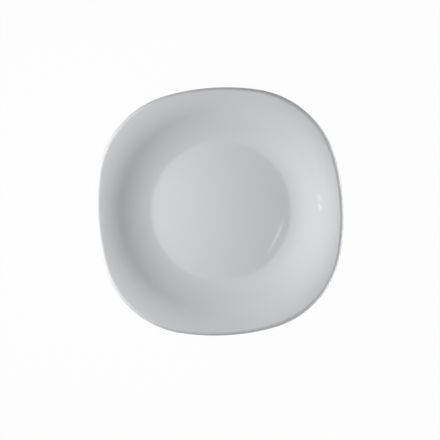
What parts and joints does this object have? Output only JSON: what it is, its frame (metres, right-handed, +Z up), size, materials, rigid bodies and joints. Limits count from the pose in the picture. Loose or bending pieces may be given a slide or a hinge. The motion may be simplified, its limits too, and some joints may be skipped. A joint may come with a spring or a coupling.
{
  "type": "square deep plate",
  "caption": "Rounded-square deep plate of pressed white opal glass, with a flat round well, a curved wall flaring to the rim and a low foot ring, for soup, pasta and other served food.",
  "frame": {"origin": "on the surface that the plate stands on, under its centre: the bottom centre of its box", "axes": "+Z up out of the well; X and Y run along the plate's sides"},
  "size_m": [0.23, 0.23, 0.0348],
  "materials": {
    "opal_glass": "white pressed opal glass, fire-polished to an even gloss, opaque"
  },
  "bodies": {
    "root": {"plate": "opal_glass"}
  },
  "joints": []
}
